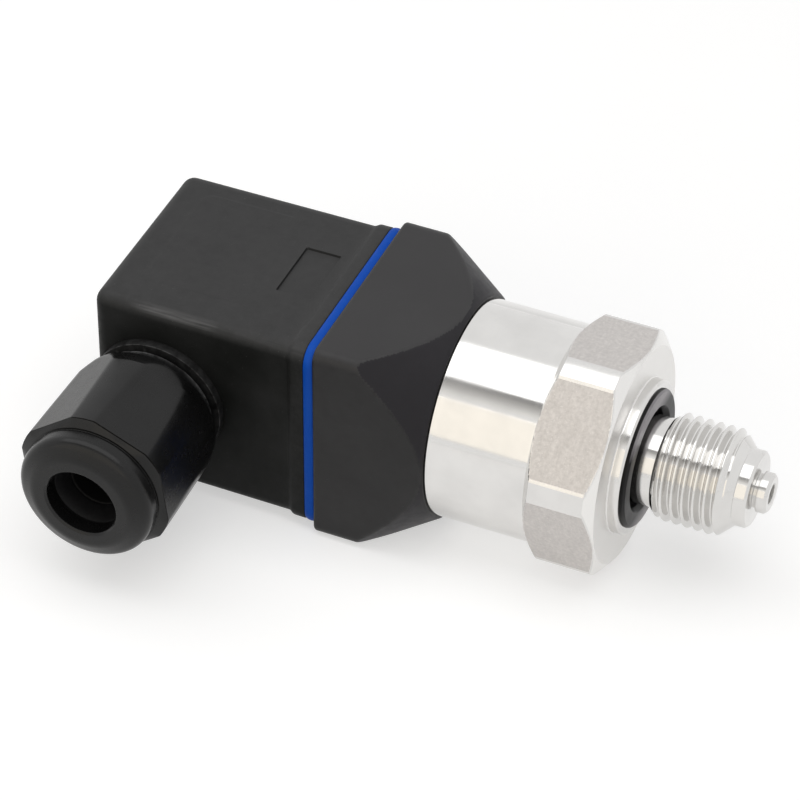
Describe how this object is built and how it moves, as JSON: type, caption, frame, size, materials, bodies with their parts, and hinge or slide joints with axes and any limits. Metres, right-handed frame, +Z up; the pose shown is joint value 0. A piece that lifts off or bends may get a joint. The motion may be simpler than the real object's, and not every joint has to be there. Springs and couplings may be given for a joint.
{
  "type": "pressure transmitter",
  "caption": "Compact pressure transmitter: hex process connection with a G1/4 thread, steel case, square cable plug with side gland and blue gasket.",
  "frame": {"origin": "centre of the sealing face round the neck of the process thread, on the thread's axis", "axes": "+X along the thread's axis, out of the thread's tip; +Z up as it lies; the cable gland points along -Y"},
  "size_m": [0.0826, 0.0493, 0.0294],
  "materials": {
    "stainless_steel": "turned and milled, bright, fine tool marks",
    "moulded_black": "glass-filled nylon, satin with a faint grain",
    "gasket_silicone": "matt blue silicone sheet",
    "seal_rubber": "black nitrile rubber",
    "block_plastic": "dark grey nylon",
    "ring_plastic": "dark grey acetal",
    "contact_metal": "tinned brass",
    "retaining_brass": "plain turned brass",
    "screw_steel": "zinc plated steel",
    "cell_ceramic": "alumina ceramic, stands in as gloss plastic",
    "board_laminate": "green glass-epoxy laminate",
    "chip_resin": "black moulding resin",
    "capacitor_ceramic": "tan ceramic with metal ends"
  },
  "bodies": {
    "transmitter": {"process_connection": "stainless_steel", "process_seal": "seal_rubber", "sensor_cell": "cell_ceramic", "cell_o_ring": "seal_rubber", "retaining_ring": "retaining_brass", "cell_leads": "contact_metal", "case_tube": "stainless_steel", "connector_base": "moulded_black", "base_o_ring": "seal_rubber", "threaded_insert": "retaining_brass", "contact_pin_1": "contact_metal", "contact_pin_2": "contact_metal", "contact_pin_3": "contact_metal", "earth_pin": "contact_metal", "circuit_board": "board_laminate", "signal_chip": "chip_resin", "board_capacitors": "capacitor_ceramic"},
    "plug": {"flat_gasket": "gasket_silicone", "plug_housing": "moulded_black", "terminal_block": "block_plastic", "contact_sleeve_1": "contact_metal", "contact_sleeve_2": "contact_metal", "contact_sleeve_3": "contact_metal", "earth_sleeve": "contact_metal", "terminal_screws": "screw_steel", "gland_seal": "seal_rubber"},
    "screw_carrier": {"screw_washer": "seal_rubber"},
    "fixing_screw": {"fixing_screw": "screw_steel"},
    "thrust_ring": {"gland_thrust_ring": "ring_plastic"},
    "gland_nut": {"gland_nut": "moulded_black"}
  },
  "joints": [
    {"name": "plug_pull", "type": "slide", "parent": "transmitter", "child": "plug", "axis": [-1, 0, 0], "range_m": [0, 0.012]},
    {"name": "screw_travel", "type": "slide", "parent": "plug", "child": "screw_carrier", "axis": [-1, 0, 0], "range_m": [0, 0.005]},
    {"name": "screw_turn", "type": "hinge", "parent": "screw_carrier", "child": "fixing_screw", "pos_m": [-0.06351, 0, 0], "axis": [-1, 0, 0], "range_deg": [0, 3600]},
    {"name": "gland_travel", "type": "slide", "parent": "plug", "child": "thrust_ring", "axis": [0, -1, 0], "range_m": [0, 0.0075]},
    {"name": "gland_nut_turn", "type": "hinge", "parent": "thrust_ring", "child": "gland_nut", "pos_m": [-0.05731, -0.0315, 0], "axis": [0, -1, 0], "range_deg": [0, 1800]}
  ],
  "couplings": [
    {"joint": "screw_turn", "follows": "screw_travel", "rad_per_m": 12566},
    {"joint": "gland_nut_turn", "follows": "gland_travel", "rad_per_m": 4188.7}
  ]
}
